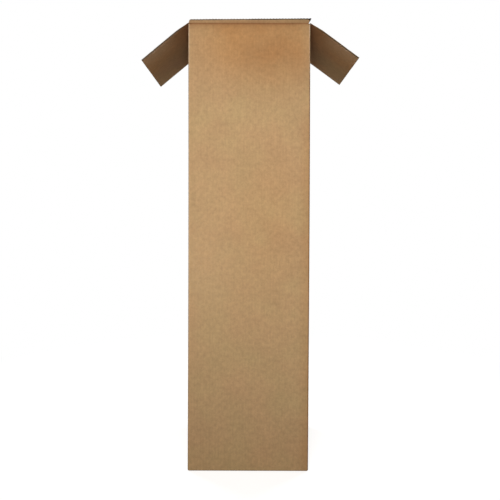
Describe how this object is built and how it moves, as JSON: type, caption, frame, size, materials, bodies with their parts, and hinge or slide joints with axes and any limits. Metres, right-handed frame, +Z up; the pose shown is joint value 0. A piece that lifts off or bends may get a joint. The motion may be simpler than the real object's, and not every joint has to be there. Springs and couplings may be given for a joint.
{
  "type": "lamp moving box",
  "caption": "Tall square corrugated carton for packing a floor lamp, open at the top, with hinged top flaps and a taped bottom.",
  "frame": {"origin": "on the floor, under the middle of the four walls", "axes": "+X to the carton's right seen from its front, +Y to its rear, +Z up along its height"},
  "size_m": [0.5637, 0.4407, 1.1606],
  "materials": {
    "kraft_board": "matt brown kraft liner",
    "tape": "thin brown film"
  },
  "bodies": {
    "carton": {"box_body": "kraft_board", "bottom_tape": "tape"},
    "front_flap": {"front_flap": "kraft_board"},
    "back_flap": {"back_flap": "kraft_board"},
    "left_flap": {"left_flap": "kraft_board"},
    "right_flap": {"right_flap": "kraft_board"}
  },
  "joints": [
    {"name": "front_flap_fold", "type": "hinge", "parent": "carton", "child": "front_flap", "pos_m": [0, -0.1566, 1.1554], "axis": [1, 0, 0], "range_deg": [0, 266]},
    {"name": "back_flap_fold", "type": "hinge", "parent": "carton", "child": "back_flap", "pos_m": [0, 0.1566, 1.1554], "axis": [-1, 0, 0], "range_deg": [-216, 50]},
    {"name": "left_flap_fold", "type": "hinge", "parent": "carton", "child": "left_flap", "pos_m": [-0.1566, 0, 1.1597], "axis": [0, -1, 0], "range_deg": [-219.3, 46.7]},
    {"name": "right_flap_fold", "type": "hinge", "parent": "carton", "child": "right_flap", "pos_m": [0.1566, 0, 1.1597], "axis": [0, 1, 0], "range_deg": [-215.7, 50.3]}
  ]
}
